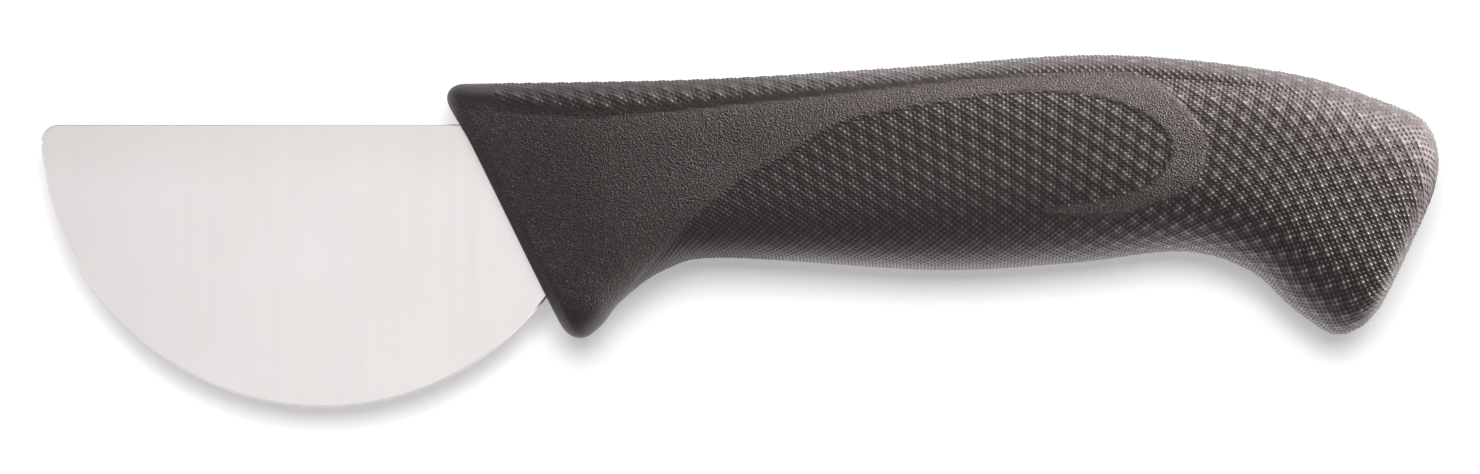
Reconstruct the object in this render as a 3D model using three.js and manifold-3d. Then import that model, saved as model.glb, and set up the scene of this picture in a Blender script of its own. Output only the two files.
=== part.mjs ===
// A farinata knife: a half-round blade, a rigid core moulded round its tang, and a soft grip on the core.
// Millimetres. The knife lies on its side: x runs from the blade's tip to the butt of the handle, y from
// the cutting edge to the spine, and z goes up across the blade. While the pieces are made, the centre of
// the blade's arc is at zero and the blade lies in the plane z = 0.
import * as THREE from "three";
import { LoftGeometry } from "three/addons/geometries/LoftGeometry.js";
import { mergeVertices } from "three/addons/utils/BufferGeometryUtils.js";
import Module from "manifold-3d";

// Gap between a piece and the pocket that was moulded round it
const CLEARANCE = 0.3;

// Blade: a half disc with its straight side as the spine
const BLADE_RADIUS = 40;
const BLADE_THICKNESS = 1.5;
const EDGE_BEVEL = 0.5;
const EDGE_THICKNESS = 0.3;
const TIP_ROUNDING = 2.5;

// Tang: runs on from the blade's spine, and ends short of the butt
const TANG_ROOT_WIDTH = 13;
const TANG_END_WIDTH = 10;
const TANG_END_CORNER = 3;
const TANG_ROOT_FILLET = 8;
const TANG_TO_BUTT = 48;
const TANG_HOLES = 3;
const TANG_HOLE_RADIUS = 2.5;
const TANG_HOLE_MARGIN = 12;

// Handle: its front crosses the blade's spine this far behind the tip, rises over it and leans back towards
// the guard, which reaches below the place where the front crosses the cutting edge and covers it
const EXPOSED_SPINE = 59.1;
const FRONT_LEAN = THREE.MathUtils.degToRad(27.3);
const FRONT_RISE = 5.7;
const GUARD_COVER = 7.2;
const HANDLE_LENGTH = 144.4;
const HANDLE_THICKNESS = 22;

const frontX = EXPOSED_SPINE - BLADE_RADIUS;
const frontToArc = Math.sqrt(BLADE_RADIUS ** 2 - (frontX * Math.cos(FRONT_LEAN)) ** 2);
const crossing = (frontToArc - frontX * Math.sin(FRONT_LEAN)) * Math.cos(FRONT_LEAN);
const guardY = -crossing - GUARD_COVER;
const guardX = (FRONT_RISE - guardY) * Math.tan(FRONT_LEAN);
const waistX = HANDLE_LENGTH / 2 - 7;

// Side outline, each point as [behind the front's top corner, above the blade's spine], corners still sharp
const SPINE_POINTS = [
  [0, FRONT_RISE],
  [36, 6.3],
  [waistX, 8],
  [HANDLE_LENGTH - 50, 9.8],
  [HANDLE_LENGTH - 25, 7.4],
  [HANDLE_LENGTH - 11.3, 3.5],
  [HANDLE_LENGTH, -1.4],
];
const BELLY_POINTS = [
  [guardX, guardY],
  [guardX + 3.9, guardY + 3.1],
  [guardX + 6.9, guardY + 6.7],
  [guardX + 13.2, guardY + 11],
  [guardX + 21.8, -19],
  [waistX + 5, -20.6],
  [HANDLE_LENGTH - 55, -19.6],
  [HANDLE_LENGTH - 39, -17.9],
  [HANDLE_LENGTH - 29.4, -20.6],
  [HANDLE_LENGTH - 23, -26.1],
  [HANDLE_LENGTH - 14.2, -32.3],
];

// Sections at shares of the handle's length: how far their sides would swell past the flats that the knife
// lies on, or fall short of them, and how square they are
const SECTION_SHARES = [0, 0.12, 0.28, 0.6, 0.78, 0.9, 1];
const SIDE_SWELL = [-2.6, -0.4, 0.4, 0.5, 0.3, -0.3, -1.2];
const SQUARENESS_ABOVE = [4.5, 4.5, 4.3, 3.2, 3, 3, 3.2];
const SQUARENESS_BELOW = [4.5, 4, 3.1, 2.5, 2.5, 2.6, 2.8];

// Rounding of the two ends: how deep it goes, and how much it takes off above, below and at the sides
const FRONT_ROUNDING = { depth: 3.6, above: 4, below: 3.7, side: 4.5 };
const BUTT_ROUNDING = { depth: 6.5, above: 10.5, below: 8.5, side: 5 };

// Walls of the soft grip over the core, and the core's own rounded ends
const GRIP_WALL = 3;
const GRIP_FRONT_WALL = 3;
const GRIP_BUTT_WALL = 5;
const CORE_ROUNDING = { depth: 1.5, above: 1.5, below: 1.5, side: 1.5 };

// Keys: posts of the grip that go through windows in the core behind the tang
const KEYS = 2;
const KEY_RADIUS = 3;

// Facets
const ARC_SEGMENTS = 36;
const CURVE_SEGMENTS = 12;
const POST_SEGMENTS = 32;
const RING_POINTS = 40;
const GRIP_ROWS = { rounding: 5, spacing: 3.2 };
const CORE_ROWS = { rounding: 3, spacing: 6.4 };

const wasm = await Module();
wasm.setup();

function solidOf(geometry) {
  const bare = new THREE.BufferGeometry();
  bare.setAttribute("position", geometry.getAttribute("position"));
  bare.setIndex(geometry.getIndex());
  const merged = mergeVertices(bare);
  return new wasm.Manifold(
    new wasm.Mesh({
      numProp: 3,
      vertProperties: new Float32Array(merged.attributes.position.array),
      triVerts: new Uint32Array(merged.index.array),
    }),
  );
}

function meshOf(name, solid, material) {
  const { vertProperties, triVerts } = solid.getMesh();
  const geometry = new THREE.BufferGeometry();
  geometry.setAttribute("position", new THREE.BufferAttribute(vertProperties, 3));
  geometry.setIndex(new THREE.BufferAttribute(triVerts, 1));
  geometry.computeVertexNormals();
  const mesh = new THREE.Mesh(geometry, material);
  mesh.name = name;
  return mesh;
}

// A flat shape made as thick as given, half of it on each side of the blade's plane
function plate(shape, thickness, curveSegments) {
  const options = { depth: thickness, bevelEnabled: false, curveSegments };
  return solidOf(new THREE.ExtrudeGeometry(shape, options).translate(0, 0, -thickness / 2));
}

const frontCorner = frontX - FRONT_RISE * Math.tan(FRONT_LEAN);
const tangEnd = frontCorner + HANDLE_LENGTH - TANG_TO_BUTT;

// The half disc, grown on every side by the gap of a pocket. The rounding of its tip touches the arc.
function halfDisc(gap) {
  const tipX = -Math.sqrt((BLADE_RADIUS - TIP_ROUNDING) ** 2 - TIP_ROUNDING ** 2);
  const arcStart = Math.PI + Math.atan2(TIP_ROUNDING, -tipX);
  const shape = new THREE.Shape();
  shape.moveTo(BLADE_RADIUS + gap, gap);
  shape.absarc(tipX, -TIP_ROUNDING, TIP_ROUNDING + gap, Math.PI / 2, arcStart);
  shape.absarc(0, 0, BLADE_RADIUS + gap, arcStart, 2 * Math.PI);
  return plate(shape, BLADE_THICKNESS + 2 * gap, ARC_SEGMENTS);
}

// Two rings with a sloping inner face, which grind the cutting edge from both sides
function edgeGrind() {
  const face = BLADE_THICKNESS / 2;
  const slope = (face - EDGE_THICKNESS / 2) / EDGE_BEVEL;
  const inner = new THREE.Vector2(BLADE_RADIUS - 2 * EDGE_BEVEL, face + slope * EDGE_BEVEL);
  const outer = new THREE.Vector2(BLADE_RADIUS + EDGE_BEVEL, EDGE_THICKNESS / 2 - slope * EDGE_BEVEL);
  const profile = [inner, outer, new THREE.Vector2(outer.x, inner.y), inner];
  const ring = (turn) => solidOf(new THREE.LatheGeometry(profile, 4 * ARC_SEGMENTS).rotateX(turn));
  return ring(Math.PI / 2).add(ring(-Math.PI / 2));
}

// The tang, from well inside the half disc to its own rounded end, grown on every side by the same gap
function tang(gap) {
  const arcX = (y) => Math.sqrt((BLADE_RADIUS + gap) ** 2 - y ** 2);
  const rootY = -TANG_ROOT_WIDTH - gap;
  const endY = -TANG_END_WIDTH - gap;
  const filletY = rootY - TANG_ROOT_FILLET;
  const endX = tangEnd + gap;
  const shape = new THREE.Shape();
  shape.moveTo(BLADE_RADIUS / 2, gap);
  shape.lineTo(BLADE_RADIUS / 2, filletY);
  shape.lineTo(arcX(filletY), filletY);
  shape.quadraticCurveTo(arcX(rootY), rootY, arcX(rootY) + TANG_ROOT_FILLET, rootY);
  shape.lineTo(endX - TANG_END_CORNER, endY);
  shape.quadraticCurveTo(endX, endY, endX, endY + TANG_END_CORNER);
  shape.lineTo(endX, gap - TANG_END_CORNER);
  shape.quadraticCurveTo(endX, gap, endX - TANG_END_CORNER, gap);

  const firstHole = BLADE_RADIUS + TANG_HOLE_MARGIN;
  const lastHole = tangEnd - TANG_HOLE_MARGIN;
  for (let i = 0; i < TANG_HOLES; i += 1) {
    const x = THREE.MathUtils.mapLinear(i, 0, TANG_HOLES - 1, firstHole, lastHole);
    const width = THREE.MathUtils.mapLinear(x, BLADE_RADIUS, tangEnd, TANG_ROOT_WIDTH, TANG_END_WIDTH);
    const hole = new THREE.Path();
    hole.absarc(x, -width / 2, TANG_HOLE_RADIUS - gap, 0, 2 * Math.PI);
    shape.holes.push(hole);
  }
  return plate(shape, BLADE_THICKNESS + 2 * gap, CURVE_SEGMENTS);
}

const outlineCurve = (points) =>
  new THREE.SplineCurve(points.map(([x, y]) => new THREE.Vector2(frontCorner + x, y)));
const spineLine = outlineCurve(SPINE_POINTS);
const bellyLine = outlineCurve(BELLY_POINTS);
const handleRun = (spineLine.getLength() + bellyLine.getLength()) / 2;

const alongHandle = (values) => {
  const curve = new THREE.CubicInterpolant(SECTION_SHARES, values, 1, [0]);
  return (share) => curve.evaluate(share)[0];
};
const sideSwell = alongHandle(SIDE_SWELL);
const squareAbove = alongHandle(SQUARENESS_ABOVE);
const squareBelow = alongHandle(SQUARENESS_BELOW);

// Middle of the handle's section at a share of its length, and the half of it that reaches up to the spine
function sectionAt(share) {
  const spine = spineLine.getPointAt(share);
  const belly = bellyLine.getPointAt(share);
  const middle = spine.clone().lerp(belly, 0.5);
  return { middle, up: spine.sub(middle) };
}

const powered = (value, squareness) => Math.sign(value) * Math.abs(value) ** (2 / squareness);

// One ring round the handle, sunk under its surface by a depth and drawn in by the rounding of an end.
// The sides are cut to two parallel flats, on which the knife lies.
function ring(share, depth, rounding, drawn) {
  const { middle, up } = sectionAt(share);
  const reach = up.length() - depth;
  const above = reach - rounding.above * drawn;
  const below = reach - rounding.below * drawn;
  const flat = HANDLE_THICKNESS / 2 - depth;
  const side = flat + sideSwell(share) - rounding.side * drawn;
  up.normalize();
  const points = [];
  for (let i = 0; i < RING_POINTS; i += 1) {
    const angle = (i / RING_POINTS) * 2 * Math.PI;
    const upper = Math.cos(angle) > 0;
    const squareness = upper ? squareAbove(share) : squareBelow(share);
    const rise = powered(Math.cos(angle), squareness) * (upper ? above : below);
    const out = powered(Math.sin(angle), squareness) * side;
    points.push(new THREE.Vector3(
      middle.x + up.x * rise,
      middle.y + up.y * rise,
      THREE.MathUtils.clamp(out, -flat, flat),
    ));
  }
  return points;
}

// The handle's form, sunk by a depth under its sides and by a wall under each end
function handleForm({ depth, frontWall, buttWall, frontRounding, buttRounding, rows }) {
  const rings = [];
  const quarter = (i) => (i / rows.rounding) * (Math.PI / 2);
  for (let i = 0; i < rows.rounding; i += 1) {
    const run = frontWall + frontRounding.depth * (1 - Math.cos(quarter(i)));
    rings.push(ring(run / handleRun, depth, frontRounding, 1 - Math.sin(quarter(i))));
  }
  const first = frontWall + frontRounding.depth;
  const last = handleRun - buttWall - buttRounding.depth;
  const steps = Math.ceil((last - first) / rows.spacing);
  for (let i = 0; i <= steps; i += 1) {
    const run = THREE.MathUtils.lerp(first, last, i / steps);
    rings.push(ring(run / handleRun, depth, buttRounding, 0));
  }
  for (let i = rows.rounding - 1; i >= 0; i -= 1) {
    const run = handleRun - buttWall - buttRounding.depth * (1 - Math.cos(quarter(i)));
    rings.push(ring(run / handleRun, depth, buttRounding, 1 - Math.sin(quarter(i))));
  }
  return solidOf(new LoftGeometry(rings, { capStart: true, capEnd: true }));
}

// The rigid core's form, or the cavity round it where a gap is given
function coreForm(gap) {
  return handleForm({
    depth: GRIP_WALL - gap,
    frontWall: GRIP_FRONT_WALL - gap,
    buttWall: GRIP_BUTT_WALL - gap,
    frontRounding: CORE_ROUNDING,
    buttRounding: CORE_ROUNDING,
    rows: CORE_ROWS,
  });
}

// Round posts across the handle, spread evenly between the tang's end and the core's butt end
function keyPosts(radius) {
  const front = sectionAt(0).middle.x;
  const butt = sectionAt(1).middle.x;
  const tangShare = (tangEnd - front) / (butt - front);
  const coreShare = 1 - GRIP_BUTT_WALL / handleRun;
  const posts = [];
  for (let i = 1; i <= KEYS; i += 1) {
    const share = THREE.MathUtils.lerp(tangShare, coreShare, i / (KEYS + 1));
    const { middle } = sectionAt(share);
    const reach = HANDLE_THICKNESS / 2 + Math.min(sideSwell(share), 0) - GRIP_WALL / 2;
    const post = new THREE.CylinderGeometry(radius, radius, 2 * reach, POST_SEGMENTS);
    posts.push(solidOf(post.rotateX(Math.PI / 2).translate(middle.x, middle.y, 0)));
  }
  return wasm.Manifold.union(posts);
}

const bladePocket = halfDisc(CLEARANCE).add(tang(CLEARANCE));
const blade = halfDisc(0).subtract(edgeGrind()).add(tang(0));
const core = coreForm(0).subtract(bladePocket).subtract(keyPosts(KEY_RADIUS + CLEARANCE));
const outerForm = handleForm({
  depth: 0,
  frontWall: 0,
  buttWall: 0,
  frontRounding: FRONT_ROUNDING,
  buttRounding: BUTT_ROUNDING,
  rows: GRIP_ROWS,
});
const grip = outerForm.subtract(coreForm(CLEARANCE)).subtract(bladePocket).add(keyPosts(KEY_RADIUS));

const steel = new THREE.MeshStandardMaterial({ color: "#d9d4d3", roughness: 0.32, metalness: 1 });
const corePlastic = new THREE.MeshStandardMaterial({ color: "#2c2b2b", roughness: 0.6, metalness: 0 });
const softRubber = new THREE.MeshStandardMaterial({ color: "#453f3d", roughness: 0.75, metalness: 0 });

const knife = new THREE.Group();
knife.name = "farinata_knife";
knife.add(meshOf("blade", blade, steel));
knife.add(meshOf("handle_core", core, corePlastic));
knife.add(meshOf("grip", grip, softRubber));

// Origin: middle of the knife's box, on the surface that it lies on
const box = new THREE.Box3().setFromObject(knife);
const middle = box.getCenter(new THREE.Vector3());
knife.position.set(-middle.x, -middle.y, -box.min.z);

export default knife;
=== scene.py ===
# %% [markdown]
# # A farinata knife on a white table
# The knife has three pieces: a half-round steel blade, a rigid core round the blade's tang, and a soft
# grip moulded over the core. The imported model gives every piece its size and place. This lesson makes
# the two pieces that show again as fine meshes, gives all three their finish, and lights them.

import bpy
import numpy as np
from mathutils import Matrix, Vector


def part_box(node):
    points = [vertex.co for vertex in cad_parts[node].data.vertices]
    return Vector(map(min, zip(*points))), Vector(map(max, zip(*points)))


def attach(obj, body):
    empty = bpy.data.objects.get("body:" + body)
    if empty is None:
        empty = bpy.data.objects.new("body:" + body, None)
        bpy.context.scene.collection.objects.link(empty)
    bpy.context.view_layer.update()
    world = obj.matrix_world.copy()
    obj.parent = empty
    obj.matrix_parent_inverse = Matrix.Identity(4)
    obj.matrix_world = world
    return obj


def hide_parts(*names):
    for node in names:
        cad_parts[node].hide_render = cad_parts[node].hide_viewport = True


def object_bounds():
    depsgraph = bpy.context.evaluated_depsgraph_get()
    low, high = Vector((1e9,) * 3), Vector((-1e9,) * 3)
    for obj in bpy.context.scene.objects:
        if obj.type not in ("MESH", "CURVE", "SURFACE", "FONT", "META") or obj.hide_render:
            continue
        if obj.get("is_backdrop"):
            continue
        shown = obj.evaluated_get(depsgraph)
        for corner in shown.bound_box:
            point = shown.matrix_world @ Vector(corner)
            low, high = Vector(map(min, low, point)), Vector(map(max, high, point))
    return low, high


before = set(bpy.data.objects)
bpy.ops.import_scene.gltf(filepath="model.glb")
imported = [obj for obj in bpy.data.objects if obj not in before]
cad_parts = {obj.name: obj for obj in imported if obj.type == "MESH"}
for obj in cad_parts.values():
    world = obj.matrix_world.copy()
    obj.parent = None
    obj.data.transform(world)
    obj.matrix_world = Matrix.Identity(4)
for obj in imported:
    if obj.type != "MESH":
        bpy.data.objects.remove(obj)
cad_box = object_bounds()
bpy.ops.object.select_all(action="DESELECT")
print("pieces of the packed model:", sorted(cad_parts))

# %% [markdown]
# ## Where things are
# The half disc of the blade is the ruler of the whole knife. Its box gives the centre of its arc, the
# line of its spine and the plane in which it lies. Places on the knife are measured from that centre: x
# towards the butt of the handle, y from the cutting edge towards the spine, z across the blade.

# %% The centre of the blade's arc
BLADE_RADIUS = 0.040
blade_low, blade_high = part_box("blade")
BLADE_THICKNESS = blade_high.z - blade_low.z
ARC_CENTRE = Vector((
    blade_low.x + BLADE_RADIUS,
    blade_high.y,
    (blade_low.z + blade_high.z) / 2,
))
print("arc centre:", [round(v, 5) for v in ARC_CENTRE], "thickness:", round(BLADE_THICKNESS, 5))

# %% [markdown]
# ## Selecting in code
# Operators work on what is selected. Each piece starts as a primitive, and a small helper names it and
# Two more helpers pick faces by flags and edges by place, because there is no mouse
# here. The last two apply a modifier, and hang a finished piece on the knife's body in place of the
# imported one, which they hide.

# %% Helpers for edit mode


def select_only(piece):
    """Select one piece, and make it the one that operators act on."""
    bpy.ops.object.select_all(action="DESELECT")
    piece.select_set(True)
    bpy.context.view_layer.objects.active = piece


def start_piece(name):
    """Name the primitive that was just added, and select it alone."""
    piece = bpy.context.active_object
    piece.name = name
    piece.data.name = name
    select_only(piece)
    return piece


def select_faces(piece, chosen):
    """Select the faces whose flags are set, in face select mode."""
    bpy.ops.object.mode_set(mode="EDIT")
    bpy.ops.mesh.select_mode(type="FACE")
    bpy.ops.mesh.select_all(action="DESELECT")
    bpy.ops.object.mode_set(mode="OBJECT")
    piece.data.polygons.foreach_set("select", np.asarray(chosen, bool))
    bpy.ops.object.mode_set(mode="EDIT")


def select_edges(piece, test):
    """Select the edges whose two ends both pass a test of their place, in edge select mode."""
    bpy.ops.object.mode_set(mode="EDIT")
    bpy.ops.mesh.select_mode(type="EDGE")
    bpy.ops.mesh.select_all(action="DESELECT")
    bpy.ops.object.mode_set(mode="OBJECT")
    passed = [test(corner.co) for corner in piece.data.vertices]
    for edge in piece.data.edges:
        edge.select = all(passed[i] for i in edge.vertices)
    bpy.ops.object.mode_set(mode="EDIT")


def apply_modifier(piece, kind, **settings):
    """Add a modifier with its settings, and make its result part of the mesh."""
    modifier = piece.modifiers.new(kind.title(), kind)
    for name, value in settings.items():
        setattr(modifier, name, value)
    select_only(piece)
    bpy.ops.object.modifier_apply(modifier=modifier.name)


def finish_piece(piece, node):
    """Let a piece ride on the knife's one body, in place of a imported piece."""
    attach(piece, "root")
    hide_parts(node)
    print(piece.name, "has", len(piece.data.polygons), "faces")


print("helpers for edit mode are ready")

# %% [markdown]
# ## The blade
# The real blade is punched from sheet steel: a half disc with a softened tip, and a tang behind it that
# the handle hides. Half a cylinder would leave the tang to be joined on. A circle primitive can have as
# many corners as the whole outline needs, so they are laid along the outline, and the disc is pulled up
# to the thickness of the sheet. The cutting edge gets a narrow ground bevel, and the spine the small
# rounding that makes a sheet's edge catch the light. Boolean modifiers punch the tang's holes.

# %% The blade's outline
TIP_ROUNDING = 0.0025
TANG_ROOT_WIDTH = 0.013
TANG_END_WIDTH = 0.010
TANG_END_CORNER = 0.003
TANG_ROOT_FILLET = 0.008
ARC_STEPS = 150
CORNER_STEPS = 10
tang_end = blade_high.x - ARC_CENTRE.x


def arc(centre, radius, start, end, steps):
    """Points on an arc, both ends included."""
    angles = np.linspace(start, end, steps + 1)
    return [(centre[0] + radius * np.cos(a), centre[1] + radius * np.sin(a)) for a in angles]


def blade_outline():
    """Tip, cutting edge, fillet and tang, as one run of points round the blade."""
    tip = -np.sqrt((BLADE_RADIUS - TIP_ROUNDING) ** 2 - TIP_ROUNDING ** 2)
    arc_start = np.pi + np.arctan2(TIP_ROUNDING, -tip)
    fillet_y = -TANG_ROOT_WIDTH - TANG_ROOT_FILLET
    arc_end = 2 * np.pi + np.arcsin(fillet_y / BLADE_RADIUS)
    fillet = np.sqrt(BLADE_RADIUS ** 2 - fillet_y ** 2) + TANG_ROOT_FILLET
    corner = tang_end - TANG_END_CORNER
    points = arc((tip, -TIP_ROUNDING), TIP_ROUNDING, np.pi / 2, arc_start, CORNER_STEPS)
    points += arc((0, 0), BLADE_RADIUS, arc_start, arc_end, ARC_STEPS)[1:]
    points += arc((fillet, fillet_y), TANG_ROOT_FILLET, np.pi, np.pi / 2, CORNER_STEPS)[1:]
    points += arc(
        (corner, TANG_END_CORNER - TANG_END_WIDTH), TANG_END_CORNER, -np.pi / 2, 0, CORNER_STEPS
    )
    points += arc((corner, -TANG_END_CORNER), TANG_END_CORNER, 0, np.pi / 2, CORNER_STEPS)
    return points


outline = blade_outline()
print("the blade's outline has", len(outline), "points")

# %% The sheet
bpy.ops.mesh.primitive_circle_add(vertices=len(outline), radius=BLADE_RADIUS, fill_type="NGON")
blade = start_piece("half_round_blade")
sheet_bottom = ARC_CENTRE.z - BLADE_THICKNESS / 2
for vertex, (x, y) in zip(blade.data.vertices, outline):
    vertex.co = (ARC_CENTRE.x + x, ARC_CENTRE.y + y, sheet_bottom)
bpy.ops.object.mode_set(mode="EDIT")
bpy.ops.mesh.select_all(action="SELECT")
bpy.ops.mesh.extrude_region_move(TRANSFORM_OT_translate={"value": (0, 0, BLADE_THICKNESS)})
bpy.ops.mesh.select_all(action="SELECT")
bpy.ops.mesh.normals_make_consistent(inside=False)
bpy.ops.object.mode_set(mode="OBJECT")
print("sheet:", len(blade.data.vertices), "corners")

# %% The ground edge and the softened spine
EDGE_BEVEL = 0.0003
SPINE_ROUNDING = 0.00012
SAME_PLACE = 0.00002


def on_cutting_edge(place):
    """Whether a place is on the round edge that is ground."""
    below = place.y < ARC_CENTRE.y - TIP_ROUNDING / 2
    from_centre = (place - ARC_CENTRE).xy.length
    return below and abs(from_centre - BLADE_RADIUS) < SAME_PLACE


def on_spine(place):
    """Whether a place is on the straight spine, which the tang shares."""
    return place.y > ARC_CENTRE.y - TIP_ROUNDING / 2


def on_a_face(place):
    """Whether a place is on one of the two flat faces of the sheet."""
    return abs(abs(place.z - ARC_CENTRE.z) - BLADE_THICKNESS / 2) < SAME_PLACE


def bevel_rim(wanted, size, steps):
    """Bevel the rim of the sheet where its corners pass a test of place."""
    select_edges(blade, lambda place: wanted(place) and on_a_face(place))
    bpy.ops.mesh.bevel(offset=size, segments=steps, affect="EDGES", clamp_overlap=False)
    bpy.ops.object.mode_set(mode="OBJECT")


bevel_rim(on_cutting_edge, EDGE_BEVEL, steps=1)
bevel_rim(on_spine, SPINE_ROUNDING, steps=3)
print("blade with its edges:", len(blade.data.polygons), "faces")

# %% The tang's holes
TANG_HOLES = 3
TANG_HOLE_RADIUS = 0.0025
TANG_HOLE_MARGIN = 0.012
HOLE_SIDES = 40
PUNCH_DEPTH = 3 * BLADE_THICKNESS
SHARP_FROM = np.radians(12)
hole_places = np.linspace(BLADE_RADIUS + TANG_HOLE_MARGIN, tang_end - TANG_HOLE_MARGIN, TANG_HOLES)
punch = []
for x in hole_places:
    width = np.interp(x, (BLADE_RADIUS, tang_end), (TANG_ROOT_WIDTH, TANG_END_WIDTH))
    place = ARC_CENTRE + Vector((x, -width / 2, 0))
    bpy.ops.mesh.primitive_cylinder_add(
        vertices=HOLE_SIDES, radius=TANG_HOLE_RADIUS, depth=PUNCH_DEPTH, location=place
    )
    punch.append(bpy.context.active_object)
for cutter in punch:
    apply_modifier(blade, "BOOLEAN", operation="DIFFERENCE", object=cutter, solver="EXACT")
    bpy.data.objects.remove(cutter)
select_only(blade)
bpy.ops.object.shade_smooth_by_angle(angle=SHARP_FROM)
finish_piece(blade, "blade")

# %% [markdown]
# ## The form of the grip
# The grip is a body with a changing section: two smooth lines, the spine and the belly, are seen from
# the side, and at each share of their lengths a rounded, squarish ring joins them. Bridged loops would
# give that form, but not the fine lattice on it. So a grid primitive, with a cell for each place of the
# lattice, is laid round the handle ring by ring. Every ring is laid out by its own length, which keeps
# its cells even. Both ends are rounded over, the sides in a shorter bend than the spine and the belly,
# and a fine groove runs behind the rim of the butt.

# %% The lines of the spine and the belly
FRONT_LEAN = np.radians(27.3)
EXPOSED_SPINE = 0.0591
FRONT_RISE = 0.0057
GUARD_COVER = 0.0072
HANDLE_LENGTH = 0.1444
WAIST_FORWARD = 0.007
front_x = EXPOSED_SPINE - BLADE_RADIUS
front_to_arc = np.sqrt(BLADE_RADIUS ** 2 - (front_x * np.cos(FRONT_LEAN)) ** 2)
guard_y = -(front_to_arc - front_x * np.sin(FRONT_LEAN)) * np.cos(FRONT_LEAN) - GUARD_COVER
guard_x = (FRONT_RISE - guard_y) * np.tan(FRONT_LEAN)
waist_x = HANDLE_LENGTH / 2 - WAIST_FORWARD
front_corner = front_x - FRONT_RISE * np.tan(FRONT_LEAN)

# x from the front corner of the handle, y from the line of the blade's spine
SPINE_POINTS = [
    (0, FRONT_RISE),
    (0.036, 0.0063),
    (waist_x, 0.0080),
    (HANDLE_LENGTH - 0.050, 0.0098),
    (HANDLE_LENGTH - 0.025, 0.0074),
    (HANDLE_LENGTH - 0.0113, 0.0035),
    (HANDLE_LENGTH, -0.0014),
]
BELLY_POINTS = [
    (guard_x, guard_y),
    (guard_x + 0.0039, guard_y + 0.0031),
    (guard_x + 0.0069, guard_y + 0.0067),
    (guard_x + 0.0132, guard_y + 0.0110),
    (guard_x + 0.0218, -0.0190),
    (waist_x + 0.005, -0.0206),
    (HANDLE_LENGTH - 0.055, -0.0196),
    (HANDLE_LENGTH - 0.039, -0.0179),
    (HANDLE_LENGTH - 0.0294, -0.0206),
    (HANDLE_LENGTH - 0.0230, -0.0261),
    (HANDLE_LENGTH - 0.0142, -0.0323),
]
print("guard corner:", round(front_corner + guard_x, 5), round(guard_y, 5))

# %% Smooth lines through the points


def smooth_curve(knots, values, tangents, at):
    """Cubic curve through values at knots, with a given tangent at each."""
    i = np.clip(np.searchsorted(knots, at, side="right") - 1, 0, len(knots) - 2)
    run = knots[i + 1] - knots[i]
    t = (at - knots[i]) / run
    shape = (-1,) + (1,) * (values.ndim - 1)
    t, run = t.reshape(shape), run.reshape(shape)
    return (
        (2 * t ** 3 - 3 * t ** 2 + 1) * values[i]
        + (t ** 3 - 2 * t ** 2 + t) * run * tangents[i]
        + (3 * t ** 2 - 2 * t ** 3) * values[i + 1]
        + (t ** 3 - t ** 2) * run * tangents[i + 1]
    )


def line_through(points, samples=40):
    """Many points on a smooth line through a few, and the distance along it."""
    points = np.array(points, float)
    padded = np.vstack((points[:1], points, points[-1:]))
    tangents = (padded[2:] - padded[:-2]) / 2
    knots = np.arange(len(points), dtype=float)
    line = smooth_curve(knots, points, tangents, np.linspace(0, knots[-1], samples * len(points)))
    along = np.concatenate(([0], np.cumsum(np.linalg.norm(np.diff(line, axis=0), axis=1))))
    return line, along


def point_at(share, line, along):
    """The point at a share of a line's length."""
    distance = share * along[-1]
    return np.stack([np.interp(distance, along, line[:, k]) for k in (0, 1)], axis=-1)


spine_line = line_through(np.array(SPINE_POINTS) + (front_corner, 0))
belly_line = line_through(np.array(BELLY_POINTS) + (front_corner, 0))
handle_run = (spine_line[1][-1] + belly_line[1][-1]) / 2
print("handle run:", round(handle_run, 4))

# %% The sections along the handle
grip_low, grip_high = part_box("grip")
FLAT = (grip_high.z - grip_low.z) / 2
SECTION_SHARES = np.array([0, 0.12, 0.28, 0.6, 0.78, 0.9, 1])
SIDE_SWELL = np.array([-0.0026, -0.0005, 0, 0, 0, -0.0005, -0.0013])
SQUARENESS_ABOVE = np.array([4.5, 4.5, 4.3, 3.2, 3, 3, 3.2])
SQUARENESS_BELOW = np.array([4.5, 4, 3.1, 2.5, 2.5, 2.6, 2.8])


def along_handle(values, share):
    """A value of the section at a share of the handle's length."""
    slopes = np.diff(values) / np.diff(SECTION_SHARES)
    tangents = np.concatenate((slopes[:1], (slopes[1:] + slopes[:-1]) / 2, slopes[-1:]))
    return smooth_curve(SECTION_SHARES, values, tangents, np.array([share]))[0]


print("half the thickness of the grip:", round(FLAT, 5))

# %% One ring
FRONT_ROUNDING = {
    "depth": 0.0036,
    "above": 0.004,
    "below": 0.0037,
    "side": 0.0032,
    "side_depth": 0.0020,
    "groove": 0,
}
BUTT_ROUNDING = {
    "depth": 0.0065,
    "above": 0.0105,
    "below": 0.0085,
    "side": 0.005,
    "side_depth": 0.0026,
    "groove": 0.00018,
}
GROOVE_WIDTH = 0.0004
RING_SAMPLES = 720


def quarter_draw(run, depth):
    """How far a quarter round draws in, from 1 at the end to 0 where the rounding begins."""
    return 1 - np.sqrt(1 - (1 - np.clip(run / depth, 0, 1)) ** 2)


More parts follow.
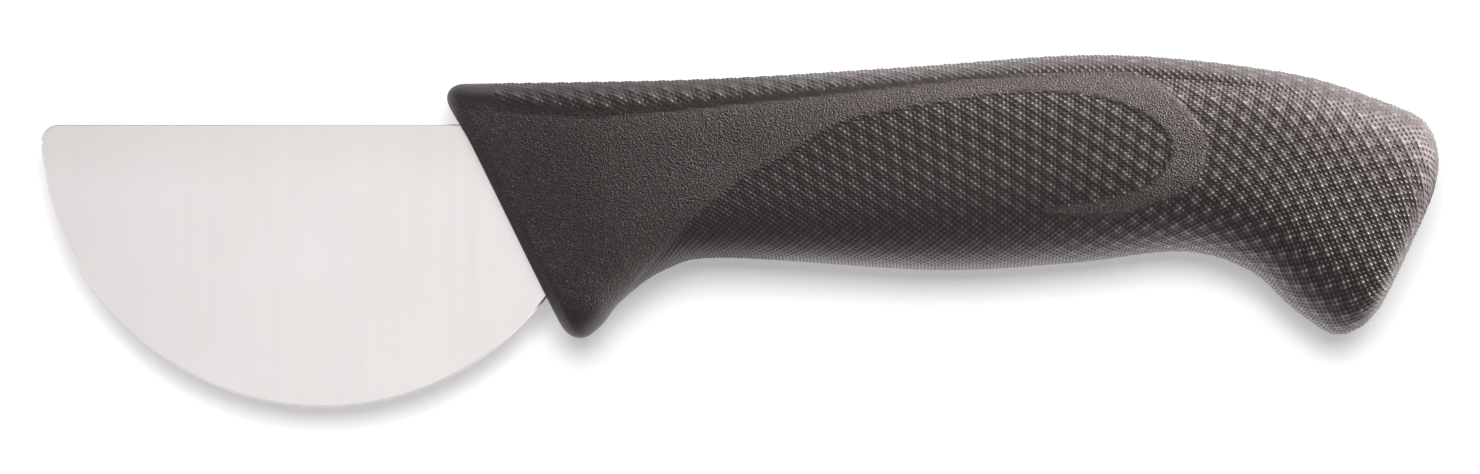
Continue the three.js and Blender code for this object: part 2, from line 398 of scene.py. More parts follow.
def handle_ring(share, rounding, run, cells, inset=0):
    """One ring of even cells round the handle, drawn in by the rounding of an end that is near."""
    drawn = quarter_draw(run, rounding["depth"])
    side_drawn = quarter_draw(run, rounding["side_depth"])
    spine = point_at(share, *spine_line)
    belly = point_at(share, *belly_line)
    middle = (spine + belly) / 2
    reach = np.linalg.norm(spine - middle)
    up = (spine - middle) / reach
    angles = np.linspace(0, 2 * np.pi, RING_SAMPLES + 1)
    cos, sin = np.cos(angles), np.sin(angles)
    power = np.where(
        cos > 0, 2 / along_handle(SQUARENESS_ABOVE, share), 2 / along_handle(SQUARENESS_BELOW, share)
    )
    above = reach - rounding["above"] * drawn - inset
    below = reach - rounding["below"] * drawn - inset
    side = FLAT + along_handle(SIDE_SWELL, share) - rounding["side"] * side_drawn - inset
    from_rim = (run - rounding["side_depth"]) / GROOVE_WIDTH
    side -= rounding["groove"] * np.exp(-from_rim ** 2)
    rise = np.sign(cos) * np.abs(cos) ** power * np.where(cos > 0, above, below)
    out = np.sign(sin) * np.abs(sin) ** power * side
    ring = np.stack((middle[0] + up[0] * rise, middle[1] + up[1] * rise, out), axis=-1)
    along = np.concatenate(([0], np.cumsum(np.linalg.norm(np.diff(ring, axis=0), axis=1))))
    steps = np.arange(cells + 1) / cells * along[-1]
    return np.stack([np.interp(steps, along, ring[:, k]) for k in range(3)], axis=-1)


middle_ring = handle_ring(0.5, BUTT_ROUNDING, handle_run / 2, RING_SAMPLES)
girth = np.linalg.norm(np.diff(middle_ring, axis=0), axis=1).sum()
print("girth of the middle ring:", round(girth, 4))

# %% All rings, in rows of even cells
CELL_ALONG = 0.00054
CELL_AROUND = 0.000435
DOME_CELLS = {"along": 4, "around": 6}
BEND_SAMPLES = 400


def end_rows(rounding, share):
    """Rows from the middle of an end's flat to the end of its rounding: run and inset of each."""
    half_width = FLAT + along_handle(SIDE_SWELL, share) - rounding["side"]
    flat_rows = int(round(half_width / CELL_ALONG))
    insets = half_width * (1 - np.arange(flat_rows) / flat_rows)
    run = rounding["depth"] * (1 - np.cos(np.linspace(0, np.pi / 2, BEND_SAMPLES)))
    fall = rounding["side"] * np.diff(quarter_draw(run, rounding["side_depth"]))
    over = np.concatenate(([0], np.cumsum(np.hypot(np.diff(run), fall))))
    steps = np.linspace(0, over[-1], int(round(over[-1] / CELL_ALONG)) + 1)
    flat = np.stack((0 * insets, insets), axis=-1)
    bend = np.stack((np.interp(steps, over, run), 0 * steps), axis=-1)
    return np.vstack((flat, bend))


def lay_rings(cells):
    """All rings, from the middle of the front to the middle of the butt."""
    front = end_rows(FRONT_ROUNDING, 0)
    butt = end_rows(BUTT_ROUNDING, 1)[::-1]
    length = handle_run - FRONT_ROUNDING["depth"] - BUTT_ROUNDING["depth"]
    body = np.linspace(0, length, int(round(length / CELL_ALONG)) + 1)[1:-1] + FRONT_ROUNDING["depth"]
    rings = []
    for run, inset in front:
        rings.append(handle_ring(run / handle_run, FRONT_ROUNDING, run, cells, inset))
    for run in body:
        rings.append(handle_ring(run / handle_run, FRONT_ROUNDING, run, cells))
    for run, inset in butt:
        rings.append(handle_ring(1 - run / handle_run, BUTT_ROUNDING, run, cells, inset))
    return np.array(rings)


around = DOME_CELLS["around"] * int(round(girth / CELL_AROUND / DOME_CELLS["around"]))
rings = lay_rings(around)
print("rows:", len(rings), "cells round the handle:", around)

# %% The grid laid round the handle
MERGE_WITHIN = CELL_AROUND / 100
LOWEST_WAVES = -1.5
HIGHEST_WAVES = 3.0
bpy.ops.mesh.primitive_grid_add(x_subdivisions=around, y_subdivisions=len(rings) - 1, size=1)
grip = start_piece("soft_grip")
places = rings + np.array(ARC_CENTRE)
grip.data.vertices.foreach_set("co", places.reshape(-1))


def dome_height(row, column):
    """Height of the domes of a honeycomb, from 0 between them to 1 on their tops."""
    along = 2 * np.pi * row / DOME_CELLS["along"]
    over = 2 * np.pi * column / DOME_CELLS["around"]
    waves = np.cos(along) + np.cos(along / 2 + over) + np.cos(along / 2 - over)
    return (waves - LOWEST_WAVES) / (HIGHEST_WAVES - LOWEST_WAVES)


butt_row = len(rings) - 1 - int((end_rows(BUTT_ROUNDING, 1)[:, 1] > 0).sum())
row, column = np.divmod(np.arange(len(grip.data.vertices)), around + 1)
dome = grip.data.attributes.new("dome", "FLOAT", "POINT")
dome.data.foreach_set("value", dome_height(row, column) * (row < butt_row))
row, column = np.divmod(np.arange(len(grip.data.polygons)), around)
chessboard = grip.data.attributes.new("black_square", "BOOLEAN", "FACE")
chessboard.data.foreach_set("value", ((row + column) % 2 == 0) & (row < butt_row))
middle_dome = grip.data.attributes.new("middle_dome", "FLOAT", "FACE")
middle_dome.data.foreach_set("value", dome_height(row + 0.5, column + 0.5) * (row < butt_row))
bpy.ops.object.mode_set(mode="EDIT")
bpy.ops.mesh.select_all(action="SELECT")
bpy.ops.mesh.remove_doubles(threshold=MERGE_WITHIN)
bpy.ops.mesh.normals_make_consistent(inside=False)
bpy.ops.object.mode_set(mode="OBJECT")
print("grip:", len(grip.data.polygons), "cells")

# %% [markdown]
# ## The zones of the grip
# Seen from the side, a valley runs under the ridge of the spine, with a steep flank above and a long
# soft slope below. Under it a fine-grained panel covers the front and the guard, tapers along the upper
# side and curls down over the palm. Nearly all the rest has small studs. Cutting the zones into the mesh
# would break up its even cells, so they are drawn as curves in side view, and each corner of the mesh
# gets its distance from them. Vertex groups keep the result for Displace modifiers, which press the
# valley in and later raise the lattice.

# %% Curves of the zones, seen from the side
CREASE_POINTS = [
    (0.018, 0.0024),
    (0.030, 0.0012),
    (0.038, 0.0007),
    (0.047, 0.0013),
    (0.057, 0.0023),
    (0.068, 0.0034),
    (0.080, 0.0048),
    (0.096, 0.0064),
    (0.112, 0.0072),
    (0.133, 0.0050),
    (0.142, 0.0028),
    (0.152, -0.0001),
]
CURL_POINTS = [
    (0.1171, 0.0057),
    (0.1213, 0.0021),
    (0.1241, -0.0028),
    (0.1220, -0.0092),
    (0.1142, -0.0123),
    (0.1086, -0.0132),
    (0.1010, -0.0124),
    (0.1100, -0.0106),
    (0.1157, -0.0088),
    (0.1185, -0.0057),
    (0.1192, -0.0028),
    (0.1164, 0.0007),
    (0.1114, 0.0031),
    (0.1043, 0.0043),
    (0.0958, 0.0042),
    (0.0788, 0.0014),
    (0.0717, -0.0007),
    (0.0647, -0.0050),
    (0.0585, -0.0085),
    (0.0502, -0.0156),
    (0.0440, -0.0225),
]
PANEL_FRONT = [(0.040, -0.045), (0, -0.045), (0, 0.003)]
CURL_JOIN = 0.003
CURL_SAMPLES = 10
CREASE_THINNING = 8
crease_line, _ = line_through(CREASE_POINTS)
panel_crease = crease_line[crease_line[:, 0] < CURL_POINTS[0][0] - CURL_JOIN]
curl_line, _ = line_through([tuple(panel_crease[-1])] + CURL_POINTS, samples=CURL_SAMPLES)
panel_line = np.vstack((panel_crease[::CREASE_THINNING], curl_line, PANEL_FRONT))
print("panel outline:", len(panel_line), "points")

# %% Measure in side view
SHORTEST_SQUARED = 1e-18


def crease_height(x):
    """Height of the valley's bottom at a station of the handle."""
    return np.interp(x, crease_line[:, 0], crease_line[:, 1])


def distance_inside(points, outline):
    """Distance of points from a closed outline, positive inside it."""
    nearest = np.full(len(points), np.inf)
    inside = np.zeros(len(points), bool)
    for a, b in zip(outline, np.roll(outline, -1, axis=0)):
        side = b - a
        t = np.clip((points - a) @ side / max(side @ side, SHORTEST_SQUARED), 0, 1)
        nearest = np.minimum(nearest, np.linalg.norm(points - a - t[:, None] * side, axis=1))
        between = (a[1] > points[:, 1]) != (b[1] > points[:, 1])
        if a[1] != b[1]:
            inside ^= between & (points[:, 0] < a[0] + (points[:, 1] - a[1]) / (b[1] - a[1]) * side[0])
    return np.where(inside, nearest, -nearest)


def smooth_step(low, high, value):
    """A soft step from 0 at a low value to 1 at a high one."""
    t = np.clip((value - low) / (high - low), 0, 1)
    return t * t * (3 - 2 * t)


def side_view(points):
    """Places along and up the handle, measured from the centre of the blade's arc."""
    return points[:, :2] - np.array(ARC_CENTRE)[:2]


def behind_front(side):
    """How far a place lies behind the leaning front of the handle."""
    return (side[:, 0] - front_x + side[:, 1] * np.tan(FRONT_LEAN)) * np.cos(FRONT_LEAN)


print("crease at the waist:", round(float(crease_height(front_corner + waist_x)), 5))

# %% Press the valley in
CREASE_DEPTH = 0.0009
CREASE_STATIONS = (0.035, 0.060, 0.080, 0.108)
DEPTH_SHARES = (0.60, 0.55, 0.66, 0.92)
FLANK_WIDTHS = (0.0013, 0.0011, 0.0008, 0.0007)
SLOPE_REACH = (0.0330, 0.0310, 0.0290, 0.0180)
VALLEY_START = (0.0165, 0.021)
VALLEY_END = (0.124, 0.146)


def read_points(piece):
    """The places of all corners of a piece, one row each."""
    points = np.empty(3 * len(piece.data.vertices))
    piece.data.vertices.foreach_get("co", points)
    return points.reshape(-1, 3)


def keep_weights(piece, name, weights):
    """Keep a weight for each corner in a vertex group, which a modifier can read."""
    group = piece.vertex_groups.new(name=name)
    for index, weight in enumerate(weights):
        if weight > 0:
            group.add([index], float(weight), "REPLACE")
    return group.name


def keep_attribute(piece, name, values):
    """Keep a value for each corner in an attribute, which a finish can read."""
    attribute = piece.data.attributes.new(name, "FLOAT", "POINT")
    attribute.data.foreach_set("value", np.asarray(values, np.float32))


def at_station(values, side):
    """A value of the valley, which changes from station to station of the handle."""
    return np.interp(side[:, 0], CREASE_STATIONS, values)


def valley_fade(side):
    """1 along the valley, and 0 before its start and past its end."""
    return smooth_step(*VALLEY_START, side[:, 0]) * (1 - smooth_step(*VALLEY_END, side[:, 0]))


side = side_view(read_points(grip))
from_crease = side[:, 1] - crease_height(side[:, 0])
flank = np.exp(-((from_crease / at_station(FLANK_WIDTHS, side)) ** 2))
slope = 1 - smooth_step(0, 1, -from_crease / at_station(SLOPE_REACH, side))
depth_share = valley_fade(side) * at_station(DEPTH_SHARES, side)
valley = depth_share * np.where(from_crease > 0, flank, slope)
group = keep_weights(grip, "crease", valley)
apply_modifier(grip, "DISPLACE", strength=-CREASE_DEPTH, mid_level=0, vertex_group=group)
print("depth of the valley:", round(CREASE_DEPTH * valley.max(), 5))

# %% [markdown]
# ## The lattice of studs
# The studs are smaller than a millimetre and stand on every second cell of the lattice, like the black
# squares of a chessboard. Under them the rubber swells into a honeycomb of shallow domes, which lift
# some studs into the light and give the coarse pattern that shows from a distance. A bump in the finish
# could fake both, but studs of mesh also show at the outline. Poking a face
# adds one corner in its middle. Displace modifiers then sink the ground a little below the panel and
# raise the domes and the studs from it. The relief fades on the flank of the valley, is lower towards
# the front, on the belly and at the outline, and leaves the flat end of the butt plain.

# %% Where the studs are
STEP_WIDTH = 0.00030
ABOVE_CREASE = (-0.0006, -0.0002)
SMOOTH_SPINE_END = (0.0236, 0.0244)
FRONT_BEVEL = 0.0030
STUDS_START = (0.8 * FRONT_BEVEL, 1.2 * FRONT_BEVEL)


def panel_share(side):
    """1 on the panel, and 0 beside it."""
    return smooth_step(-STEP_WIDTH, STEP_WIDTH, distance_inside(side, panel_line))


def studded_share(side):
    """1 where the handle has studs, and 0 on the panel, the front and the smooth start of the spine."""
    above_crease = smooth_step(*ABOVE_CREASE, side[:, 1] - crease_height(side[:, 0]))
    near_front = 1 - smooth_step(*SMOOTH_SPINE_END, side[:, 0])
    behind_bevel = smooth_step(*STUDS_START, behind_front(side))
    return (1 - panel_share(side)) * (1 - above_crease * near_front) * behind_bevel


centres = np.empty(3 * len(grip.data.polygons))
grip.data.polygons.foreach_get("center", centres)
in_lattice = studded_share(side_view(centres.reshape(-1, 3))) > 0.5
print("cells in the lattice:", int(in_lattice.sum()))

# %% Poke the cells that have a stud


def take_attribute(piece, name, kind=float):
    """The values of an attribute, which is then removed from the mesh."""
    attribute = piece.data.attributes[name]
    values = np.empty(len(attribute.data), kind)
    attribute.data.foreach_get("value", values)
    piece.data.attributes.remove(attribute)
    return values


corner_domes = take_attribute(grip, "dome")
middle_domes = take_attribute(grip, "middle_dome")
studded = take_attribute(grip, "black_square", bool) & in_lattice
ground_corners = len(grip.data.vertices)
select_faces(grip, studded)
bpy.ops.mesh.poke(offset=0, use_relative_offset=False, center_mode="MEDIAN")
bpy.ops.object.mode_set(mode="OBJECT")
print("studs:", len(grip.data.vertices) - ground_corners)

# %% Where the relief fades
FLANK_FADE = 0.0007
FLANK_MIDDLE = 0.4
HALF_FADE = 0.015
RIDGE_RISE = (0.0005, 0.0020)
FULL_SIDE = (0.5, 0.9)
CALM_BELLY = {"front": 0.105, "heights": (-0.016, -0.006), "share": 0.6}


def in_front_of(x, side):
    """1 in front of a station of the handle, and 0 behind it."""
    return 1 - smooth_step(x - HALF_FADE, x + HALF_FADE, side[:, 0])


def flank_share(side):
    """1 on the steep flank of the valley, and 0 away from it."""
    above_crease = side[:, 1] - crease_height(side[:, 0])
    from_flank = (above_crease - FLANK_MIDDLE * at_station(FLANK_WIDTHS, side)) / FLANK_FADE
    return valley_fade(side) * np.exp(-(from_flank ** 2))


points = read_points(grip)
side = side_view(points)
lattice = studded_share(side)
flank = flank_share(side)
ridge = smooth_step(*RIDGE_RISE, side[:, 1] - crease_height(side[:, 0])) * valley_fade(side)
on_side = smooth_step(*FULL_SIDE, np.abs(points[:, 2] - ARC_CENTRE.z) / FLAT)
on_belly = 1 - smooth_step(*CALM_BELLY["heights"], side[:, 1])
calm = CALM_BELLY["share"] * in_front_of(CALM_BELLY["front"], side) * on_belly
print("corners on the flank:", int((flank > 0.5).sum()))

# %% How high the domes and the studs stand
HEIGHT_STATIONS = (0.06, 0.12)
DOME_SHARES = (0.6, 1.0)
STUD_SHARES = (0.75, 1.0)
OUTLINE_SHARE = 0.55
BARE_FLANK = 0.090
domed = lattice * (1 - flank) * (1 - calm)
domes = np.concatenate((corner_domes, middle_domes[studded])) * domed
dome_heights = np.maximum(np.interp(side[:, 0], HEIGHT_STATIONS, DOME_SHARES), ridge) * domes
dome_heights *= OUTLINE_SHARE + (1 - OUTLINE_SHARE) * on_side
studs = np.interp(side[:, 0], HEIGHT_STATIONS, STUD_SHARES)
studs *= 1 - flank * in_front_of(BARE_FLANK, side)
studs[:ground_corners] = 0
print("highest dome:", round(dome_heights.max(), 3), "highest stud:", round(studs.max(), 3))

# %% Masks for the finish
GUARD_SMOOTH = (-0.0295, -0.0235)
GRAIN_START = 0.6 * FRONT_BEVEL
GRAINED_FLANK = 0.050
# stations along the handle, and at each the polish and the painted light on the tops of studs and domes
STUD_POLISH_AND_PAINTED_LIGHT = ((0.055, 0.095, 0.125), (0.25, 0.45, 0.8))
DOME_POLISH_AND_PAINTED_LIGHT = ((0.055, 0.115), (0.5, 1.3))
RIDGE_POLISH_AND_PAINTED_LIGHT = {"studs": -0.5, "domes": 0.8}
MIDDLE_OF_DOME = 0.45
grained = np.maximum(panel_share(side), flank * in_front_of(GRAINED_FLANK, side))
behind_bevel = smooth_step(0, GRAIN_START, behind_front(side))
off_guard = smooth_step(*GUARD_SMOOTH, side[:, 1])
keep_attribute(grip, "grain", grained * behind_bevel * off_guard)
# painted highlight on the tops of studs and domes and painted shade between the domes, stronger towards
# the palm and on the domes of the ridge; the same values also make the tops smoother
stud_polish_and_painted_light = np.interp(side[:, 0], *STUD_POLISH_AND_PAINTED_LIGHT) * (1 + RIDGE_POLISH_AND_PAINTED_LIGHT["studs"] * ridge)
dome_polish_and_painted_light = np.interp(side[:, 0], *DOME_POLISH_AND_PAINTED_LIGHT) + RIDGE_POLISH_AND_PAINTED_LIGHT["domes"] * ridge
keep_attribute(grip, "stud", stud_polish_and_painted_light * studs + dome_polish_and_painted_light * (domes - MIDDLE_OF_DOME * domed))
print("corners with grain:", int((grained > 0.5).sum()))

# %% Raise the domes and the studs
STUD_HEIGHT = 0.00013
DOME_HEIGHT = 0.00022
GROUND_DROP = 0.00010
STUDS_SHARP_FROM = np.radians(15)
reliefs = {
    "ground": (lattice, -GROUND_DROP),
    "domes": (dome_heights, DOME_HEIGHT),
    "studs": (studs, STUD_HEIGHT),
}
for name, (weights, height) in reliefs.items():
    group = keep_weights(grip, name, weights)
    apply_modifier(grip, "DISPLACE", strength=height, mid_level=0, vertex_group=group)
select_only(grip)
bpy.ops.object.shade_smooth_by_angle(angle=STUDS_SHARP_FROM)
finish_piece(grip, "grip")

# %% [markdown]
# ## Shader arithmetic
# A finish is a small sum of noises and masks. The class below wraps one output of a node, so that the
# sum can be written as ordinary arithmetic, and each sign adds one Math node. A finish starts with its
# coordinates, and any other node after them comes from the method `node`.

# %% A wrapped socket


class Wire:
    """One output of a node; arithmetic on it adds Math nodes."""

    def __init__(self, socket):
        self.socket = socket

    def node(self, kind, settings=None, inputs=None, output=0):
        """Add a node with its settings and the values or links of its sockets, and wrap an output."""
        tree = self.socket.id_data
        made = tree.nodes.new(kind)
        for name, value in (settings or {}).items():
            if name == "stops":
                set_stops(made.color_ramp, value)
            else:
                setattr(made, name, value)
        for name, value in (inputs or {}).items():
            if isinstance(value, Wire):
                tree.links.new(value.socket, made.inputs[name])
            else:
                made.inputs[name].default_value = value
        return Wire(made.outputs[output])

    def math(self, operation, first, second):
        """Add one Math node."""
        return self.node("ShaderNodeMath", {"operation": operation}, {0: first, 1: second})

    def __add__(self, other):
        return self.math("ADD", self, other)

    __radd__ = __add__

    def __sub__(self, other):
        return self.math("SUBTRACT", self, other)

    def __rsub__(self, other):
        return self.math("SUBTRACT", other, self)

    def __mul__(self, other):
        return self.math("MULTIPLY", self, other)

    __rmul__ = __mul__


print("wires can be added, subtracted and multiplied")

# %% Helpers for finishes


def set_stops(ramp, stops):
    """Give a colour ramp its stops: a position and a colour each."""
    while len(ramp.elements) < len(stops):
        ramp.elements.new(1)
    for element, (position, colour) in zip(ramp.elements, stops):
        element.position = position
        element.color = (*colour, 1)


def new_finish(name):
    """A new material with its shader node, and its Object coordinates as a first wire."""
    material = bpy.data.materials.new(name)
    material.use_nodes = True
    shader = material.node_tree.nodes["Principled BSDF"]
    coordinates = material.node_tree.nodes.new("ShaderNodeTexCoord")
    return material, shader, Wire(coordinates.outputs["Object"])


def set_shader(shader, **sockets):
    """Set or link sockets of a shader by name, with _ for the spaces in it."""
    for name, value in sockets.items():
        socket = shader.inputs[name.replace("_", " ")]
        if isinstance(value, Wire):
            shader.id_data.links.new(value.socket, socket)
        else:
            socket.default_value = value


def noise(place, scale, detail=2.0, roughness=0.5, stretch=(1, 1, 1)):
    """Noise with its value from 0 to 1, in lumps of about one over the scale, stretched along an axis."""
    mapped = place.node("ShaderNodeMapping", {}, {"Vector": place, "Scale": stretch})
    sockets = {"Vector": mapped, "Scale": scale, "Detail": detail, "Roughness": roughness}
    return place.node("ShaderNodeTexNoise", {}, sockets, "Fac")


def swing(value):
    """A noise as a change to either side, from -0.5 to 0.5."""
    return value - 0.5


def blend(factor, first, second):
    """A colour between two, by a factor from 0 to 1."""
    return factor.node(
        "ShaderNodeMix", {"data_type": "RGBA"}, {0: factor, 6: (*first, 1), 7: (*second, 1)}, 2
    )


print("helpers for finishes are ready")

# %% [markdown]
# ## Soft rubber
# The grip is nearly black, a little warm, and shines softly. The hand makes the studs and the tops of
# the domes a little smoother, and their colour is lighter as a painted highlight, most of all at the
# palm; the hollows between them stay dull and are darker as painted shade. The attribute that the
# lattice left on the mesh says how much. In the panel a fine grain breaks up the shine, and sparks
# painted into its colour stand for glints. The grain is finer than any mesh, so it is a bump, and a
# second attribute says where it is strong.

# %% The grip's finish
# the lowest stop is painted shade in the hollows, the two highest are painted highlights on the tops of
# studs and domes
RUBBER_STOPS = [
    (0.0, (0.004, 0.0034, 0.0032)),
    (0.5, (0.009, 0.0077, 0.0073)),
    (0.8, (0.030, 0.0255, 0.0247)),
    (1.0, (0.140, 0.1190, 0.1160)),
]
SHINE_TINT = (1.0, 0.84, 0.82, 1)
RUBBER_SHINE = 0.72
GRAIN = {"scale": 3800, "detail": 2, "roughness": 0.6}
GRAIN_DEPTH = 0.00026
PAINTED_SPARKS = {"scale": 5320, "detail": 1}
PAINTED_SPARK_RANGE = {"From Min": 0.52, "From Max": 0.74}
MOTTLING = {"scale": 60, "detail": 3}
RUBBER_TONE = {"ground": 0.5, "stud": 0.5, "painted_spark": 1.2, "grain": 0.46, "mottling": 0.12}
RUBBER_ROUGHNESS = {"ground": 0.51, "stud": 0.08, "grain": 0.04, "mottling": 0.10}
rubber, shader, place = new_finish("soft_grip_rubber")
grain_mask = place.node("ShaderNodeAttribute", {"attribute_name": "grain"}, {}, "Fac")
stud = place.node("ShaderNodeAttribute", {"attribute_name": "stud"}, {}, "Fac")
grain = noise(place, **GRAIN)
mottling = noise(place, **MOTTLING)
# painted sparks: light flecks in the colour that stand for glints of the shine on the grain
painted_sparks = place.node("ShaderNodeMapRange", {}, {"Value": noise(place, **PAINTED_SPARKS), **PAINTED_SPARK_RANGE})
# the stud attribute paints highlights on the tops and shade in the hollows
tone = RUBBER_TONE["ground"] + RUBBER_TONE["stud"] * stud
tone += grain_mask * (RUBBER_TONE["painted_spark"] * painted_sparks - RUBBER_TONE["grain"])
tone += RUBBER_TONE["mottling"] * swing(mottling)
roughness = RUBBER_ROUGHNESS["ground"] - RUBBER_ROUGHNESS["stud"] * stud
roughness -= RUBBER_ROUGHNESS["grain"] * grain_mask
roughness += RUBBER_ROUGHNESS["mottling"] * swing(mottling)
bump_of_grain = {"Height": grain * grain_mask, "Strength": 1.0, "Distance": GRAIN_DEPTH}
set_shader(
    shader,
    Base_Color=place.node("ShaderNodeValToRGB", {"stops": RUBBER_STOPS}, {0: tone}),
    Roughness=roughness,
    Specular_IOR_Level=RUBBER_SHINE,
    Specular_Tint=SHINE_TINT,
    Normal=place.node("ShaderNodeBump", {}, bump_of_grain),
)
grip.data.materials.clear()
grip.data.materials.append(rubber)
print("finish:", rubber.name)

# %% [markdown]
# ## Brushed steel
# The blade was brushed from the spine to the edge. An anisotropic shader alone would show no streaks,
# so noise is stretched along the brushing: fine streaks and wider bands change the colour and the
# roughness and tilt the surface a little. Soft clouds lie over them, and towards the spine a painted
# shade darkens the steel.

# %% The blade's finish
STEEL_DARK = (0.74, 0.70, 0.69)
STEEL_LIGHT = (0.82, 0.78, 0.775)
STREAKS = {"scale": 5000, "detail": 2, "stretch": (1, 0.012, 1)}
STREAK_BUMP = {"Strength": 0.06, "Distance": 0.00002}
BANDS = {"scale": 600, "detail": 4, "stretch": (1, 0.05, 1)}
CLOUDS = {"scale": 90, "detail": 3}
SPINE_PAINTED_SHADE_WIDTH = 0.010
STEEL_TONE = {"middle": 0.62, "streaks": 0.5, "bands": 0.4, "clouds": 0.5, "spine": 0.55}
STEEL_ROUGHNESS = {"middle": 0.30, "bands": 0.04}
steel, shader, place = new_finish("brushed_blade_steel")
streaks = noise(place, **STREAKS)
bands = noise(place, **BANDS)
clouds = noise(place, **CLOUDS)
upwards = place.node("ShaderNodeSeparateXYZ", {}, {0: place}, "Y")
spine = {"Value": upwards, "From Min": ARC_CENTRE.y - SPINE_PAINTED_SHADE_WIDTH, "From Max": ARC_CENTRE.y}
painted_spine_shade = place.node("ShaderNodeMapRange", {"interpolation_type": "SMOOTHSTEP"}, spine)
tone = STEEL_TONE["middle"] + STEEL_TONE["streaks"] * swing(streaks)
tone += STEEL_TONE["bands"] * swing(bands)
tone += STEEL_TONE["clouds"] * swing(clouds)
# painted shade: the steel is darker towards the spine
tone -= STEEL_TONE["spine"] * painted_spine_shade
set_shader(
    shader,
    Base_Color=blend(tone, STEEL_DARK, STEEL_LIGHT),
    Metallic=1.0,
    Roughness=STEEL_ROUGHNESS["middle"] + STEEL_ROUGHNESS["bands"] * swing(bands),
    Normal=place.node("ShaderNodeBump", {}, {"Height": streaks, **STREAK_BUMP}),
)
blade.data.materials.clear()
blade.data.materials.append(steel)
print("finish:", steel.name)

# %% [markdown]
# ## Rigid plastic
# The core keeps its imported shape. It is sealed inside the grip and shows only when the knife is taken
# apart, so it gets a plain moulded finish.

# %% The core's finish
CORE_DARK = (0.020, 0.019, 0.019)
CORE_LIGHT = (0.032, 0.030, 0.030)
SPECKLE = {"scale": 900, "detail": 3}
SPECKLE_BUMP = {"Strength": 0.2, "Distance": 0.0001}
CORE_ROUGHNESS = {"smoothest": 0.5, "speckle": 0.2}
plastic, shader, place = new_finish("core_plastic")
speckle = noise(place, **SPECKLE)
set_shader(
    shader,
    Base_Color=blend(speckle, CORE_DARK, CORE_LIGHT),
    Roughness=CORE_ROUGHNESS["smoothest"] + CORE_ROUGHNESS["speckle"] * speckle,
    Normal=place.node("ShaderNodeBump", {}, {"Height": speckle, **SPECKLE_BUMP}),
)
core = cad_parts["handle_core"]
core.data.materials.clear()
core.data.materials.append(plastic)
print("finish:", plastic.name)

# %% [markdown]
# ## The table
# A large white floor carries the knife and its shadow. Stronger lamps would whiten it, but would wash
# out the knife too. So the floor gets a light of its own that only the camera and shiny surfaces see,
# which turns it white and leaves the shadow and the light on the knife.

# %% The floor
FLOOR_RADIUS = 8.0
FLOOR_WHITE = (0.80, 0.80, 0.80)
FLOOR_GLOW = 0.345
FLOOR_SIDES = 128
FLOOR_ROUGHNESS = 0.9
bpy.ops.mesh.primitive_circle_add(vertices=FLOOR_SIDES, radius=FLOOR_RADIUS, fill_type="NGON")
floor = start_piece("table")
floor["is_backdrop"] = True
table_white, shader, place = new_finish("table_white")
rays = [place.node("ShaderNodeLightPath", {}, {}, "Is " + kind + " Ray")
        for kind in ("Camera", "Glossy", "Transmission")]
glow = {"Color": (1, 1, 1, 1), "Strength": FLOOR_GLOW * (rays[0] + rays[1] + rays[2])}
set_shader(shader, Base_Color=(*FLOOR_WHITE, 1), Roughness=FLOOR_ROUGHNESS, Specular_IOR_Level=0.0)
matt = Wire(shader.outputs["BSDF"])
both = place.node("ShaderNodeAddShader", {}, {0: matt, 1: place.node("ShaderNodeEmission", {}, glow)})
table_white.node_tree.links.new(
    both.socket, table_white.node_tree.nodes["Material Output"].inputs["Surface"]
)
table_white.cycles.emission_sampling = "NONE"
floor.data.materials.append(table_white)
print("floor:", FLOOR_RADIUS, "m")

# %% [markdown]
# ## The light
# What lights a matt surface and what a shiny one mirrors can be set apart, because a lamp can be hidden
# from one kind of ray. A lamp high above and a little behind the spine gives the floor its short, soft
# shadow. The blade mirrors an even sheet of light instead. Low panels behind and beside the butt and a
# strip behind the spine graze the handle, and draw every stud of the tail and of the ridge. A weak
# panel beyond the tip fills in the front, and a bright card on the table lifts the rounding of the
# belly. The room is dim above and bright at its horizon, which the blade mirrors from the side.

# %% Lamps
POWER_PER_RADIANCE = 4
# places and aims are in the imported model's own frame
LAMPS = {
    "lamp_above": {"place": (0.03, 0.31, 1.30), "size": (0.50, 0.42), "aim": (0.03, 0.31, 0),
                   "radiance": 17.0, "hidden_from": "glossy"},
    "sheet_above": {"place": (-0.04, 0, 1.20), "size": (0.65, 0.65), "aim": (-0.04, 0, 0),
                    "radiance": 1.02, "hidden_from": "diffuse"},
    "panel_at_tip": {"place": (-0.55, 0, 0.25), "size": (0.8, 0.4), "aim": (0.06, 0, 0),
                     "radiance": 0.3, "hidden_from": "diffuse"},
    "panel_behind_butt": {"place": (0.26, 0.17, 0.10), "size": (0.26, 0.16), "aim": (0.06, 0, 0.02),
                          "radiance": 18.0, "hidden_from": "diffuse"},
    "strip_behind_spine": {"place": (0.04, 0.30, 0.04), "size": (0.22, 0.06), "aim": (0.04, 0, 0.012),
                           "radiance": 4.0, "hidden_from": "diffuse"},
    "panel_beside_butt": {"place": (0.24, 0.0, 0.025), "size": (0.18, 0.05), "aim": (0.13, 0, 0.01),
                          "radiance": 9.0, "hidden_from": "diffuse"},
    "card_below": {"place": (0.14, 0.01, 0.0005), "size": (0.27, 0.24), "aim": (0.14, 0.01, 1),
                   "radiance": 1.5, "hidden_from": "diffuse"},
}
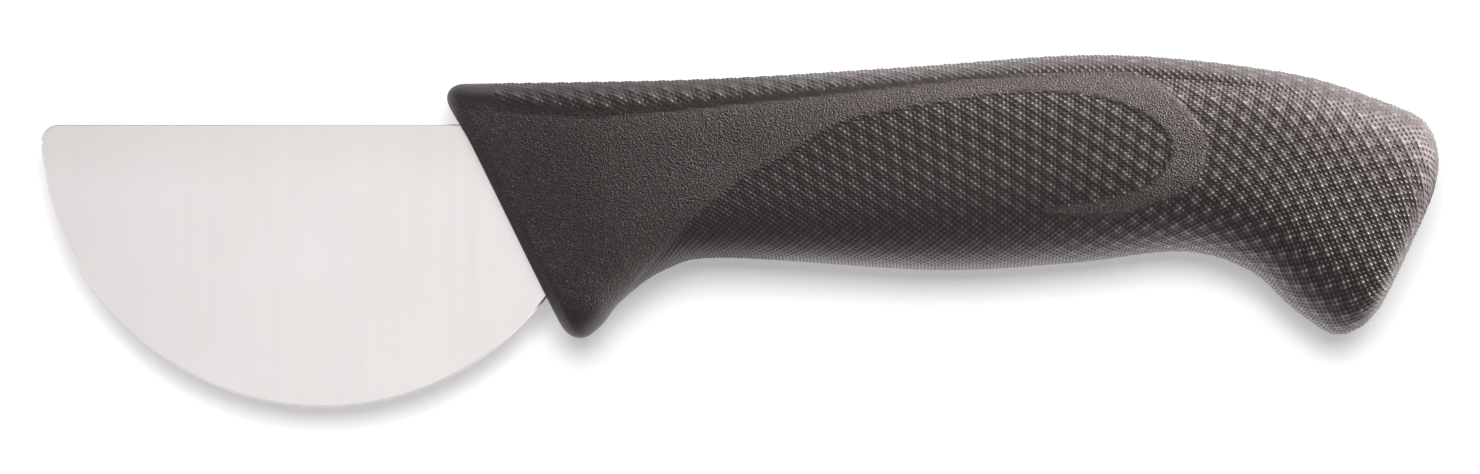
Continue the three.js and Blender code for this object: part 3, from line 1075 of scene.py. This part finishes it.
for name, values in LAMPS.items():
    bpy.ops.object.light_add(type="AREA", location=values["place"])
    lamp = bpy.context.active_object
    lamp.name = name
    lamp.data.shape = "RECTANGLE"
    lamp.data.size, lamp.data.size_y = values["size"]
    lamp.data.energy = POWER_PER_RADIANCE * np.prod(values["size"]) * values["radiance"]
    aim = Vector(values["aim"]) - Vector(values["place"])
    lamp.rotation_euler = aim.to_track_quat("-Z", "Y").to_euler()
    lamp.visible_camera = False
    setattr(lamp, "visible_" + values["hidden_from"], False)
print("lamps:", sorted(LAMPS))

# %% World
ROOM = (0.10, 0.10, 0.10)
HORIZON = (0.9, 0.9, 0.9)
HORIZON_RISE = 0.6
world = bpy.data.worlds.new("white_room")
bpy.context.scene.world = world
world.use_nodes = True
background = world.node_tree.nodes["Background"]
direction = Wire(world.node_tree.nodes.new("ShaderNodeTexCoord").outputs["Generated"])
upwards = direction.node("ShaderNodeSeparateXYZ", {}, {0: direction}, "Z")
stops = [(0.0, HORIZON), (HORIZON_RISE, ROOM)]
room = direction.node("ShaderNodeValToRGB", {"stops": stops}, {0: upwards})
world.node_tree.links.new(room.socket, background.inputs["Color"])
print("world:", world.name)

# %% [markdown]
# ## The camera
# The picture was taken from straight above: its whole width is about 210 mm at the blade, and its middle
# is close to the middle of the knife. A long lens hides the sides of the handle, as in the picture.

# %% Look straight down
PICTURE_WIDTH = 0.2096
PICTURE_MIDDLE = (0.0590, -0.0159)
LENS = 135
SENSOR = 36
NEAREST = 0.01
camera_data = bpy.data.cameras.new("camera_above")
camera_data.lens = LENS
camera_data.sensor_width = SENSOR
camera_data.sensor_fit = "HORIZONTAL"
camera_data.clip_start = NEAREST
camera = bpy.data.objects.new("camera_above", camera_data)
bpy.context.scene.collection.objects.link(camera)
camera.location = ARC_CENTRE + Vector((*PICTURE_MIDDLE, PICTURE_WIDTH * LENS / SENSOR))
bpy.context.scene.camera = camera
bpy.context.scene.view_settings.view_transform = "Standard"
print("camera height:", round(camera.location.z, 3))

# %% [markdown]
# ## Sizes
# The imported model gives the real size. Both boxes are printed, so that they can be compared.

# %% Print both boxes
boxes = {"cad": cad_box, "visual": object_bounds()}
for name, (low, high) in boxes.items():
    print(name, [round(v, 5) for v in low], [round(v, 5) for v in high])
